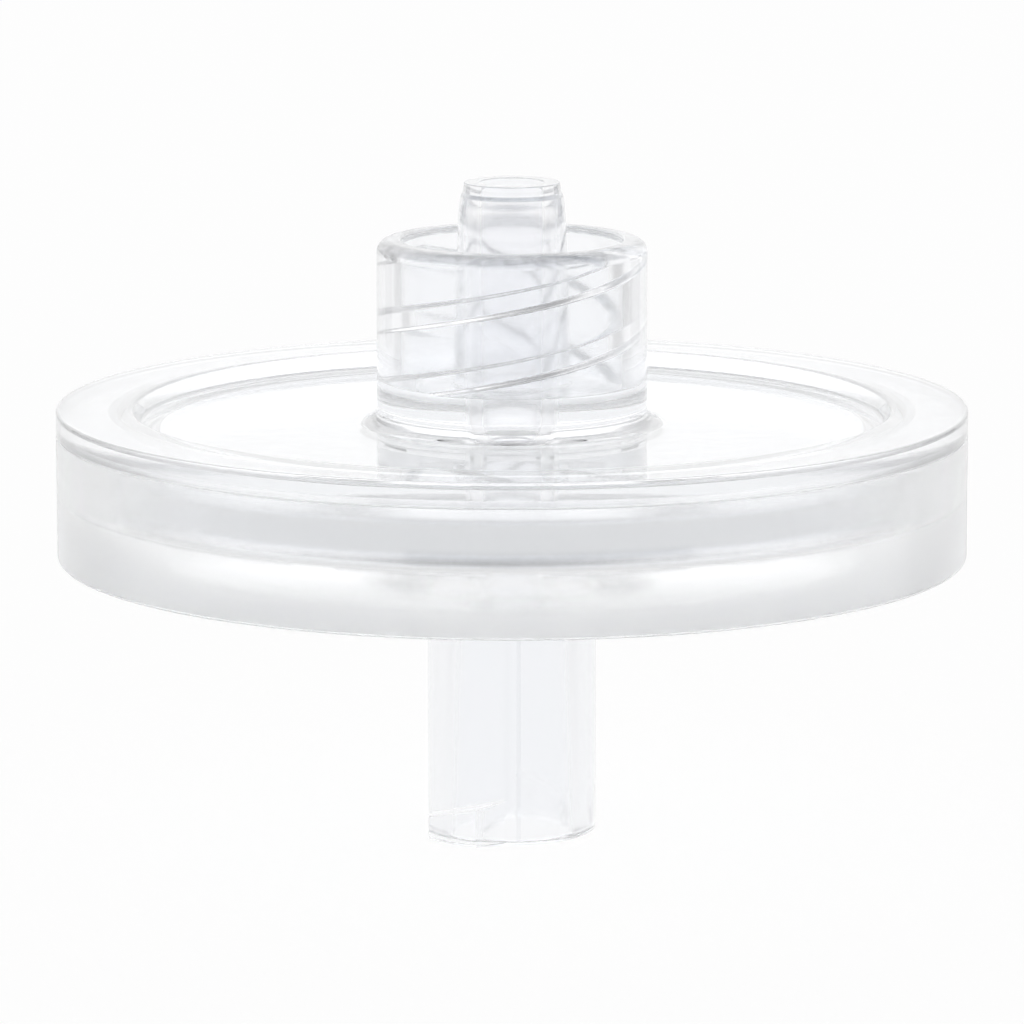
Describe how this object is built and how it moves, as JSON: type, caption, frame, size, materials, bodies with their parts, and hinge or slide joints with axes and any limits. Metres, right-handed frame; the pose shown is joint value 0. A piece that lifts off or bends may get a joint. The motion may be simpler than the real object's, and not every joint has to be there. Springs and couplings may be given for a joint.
{
  "type": "syringe filter",
  "caption": "Flat round disposable syringe filter in clear plastic, with a male luer cone in a threaded locking collar on top and a lugged female luer tube below.",
  "frame": {"origin": "centre of the female luer tube's end face, on which the filter stands", "axes": "+Z along the flow axis, from the female tube's mouth to the male cone's tip; the tube's first lug faces -Y, a little to the left of it"},
  "size_m": [0.033, 0.033, 0.0238],
  "materials": {
    "clear_lid_plastic": "polished, clear",
    "hazy_cup_plastic": "clear, slightly hazy",
    "white_membrane": "matte, finely porous"
  },
  "bodies": {
    "root": {"upper_housing": "clear_lid_plastic", "lower_housing": "hazy_cup_plastic", "membrane": "white_membrane"}
  },
  "joints": []
}
